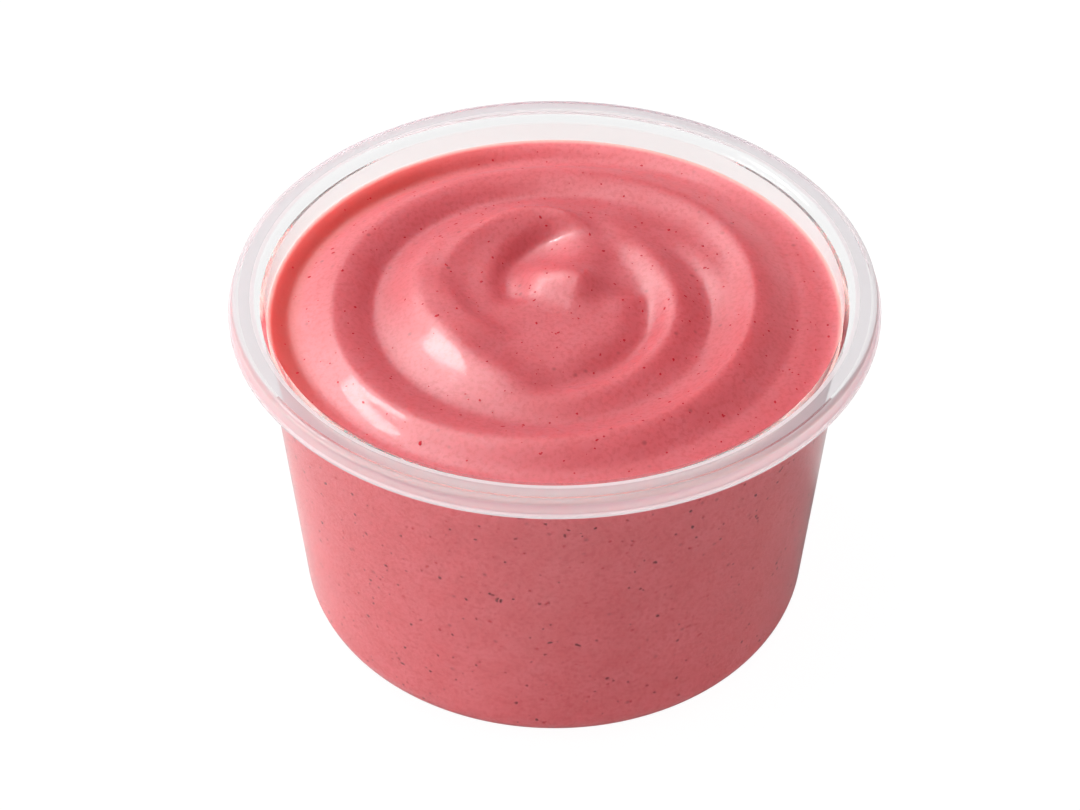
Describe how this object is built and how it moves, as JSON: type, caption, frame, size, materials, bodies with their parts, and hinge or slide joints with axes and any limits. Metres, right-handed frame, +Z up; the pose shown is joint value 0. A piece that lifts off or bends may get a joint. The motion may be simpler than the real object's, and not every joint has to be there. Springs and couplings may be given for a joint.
{
  "type": "sauce cup",
  "caption": "Round clear portion cup with a rolled rim skirt, filled with thick pink sauce stirred into a swirl.",
  "frame": {"origin": "centre of the flat foot the cup stands on", "axes": "+Z up along the cup's axis, -Y towards the viewer, +X to the viewer's right"},
  "size_m": [0.074, 0.074, 0.0439],
  "materials": {
    "clear_plastic": "thin translucent polypropylene, glossy, slightly hazy",
    "pink_sauce": "thick creamy pink sauce with fine dark red specks, softly glossy"
  },
  "bodies": {
    "root": {"cup": "clear_plastic", "sauce": "pink_sauce"}
  },
  "joints": []
}
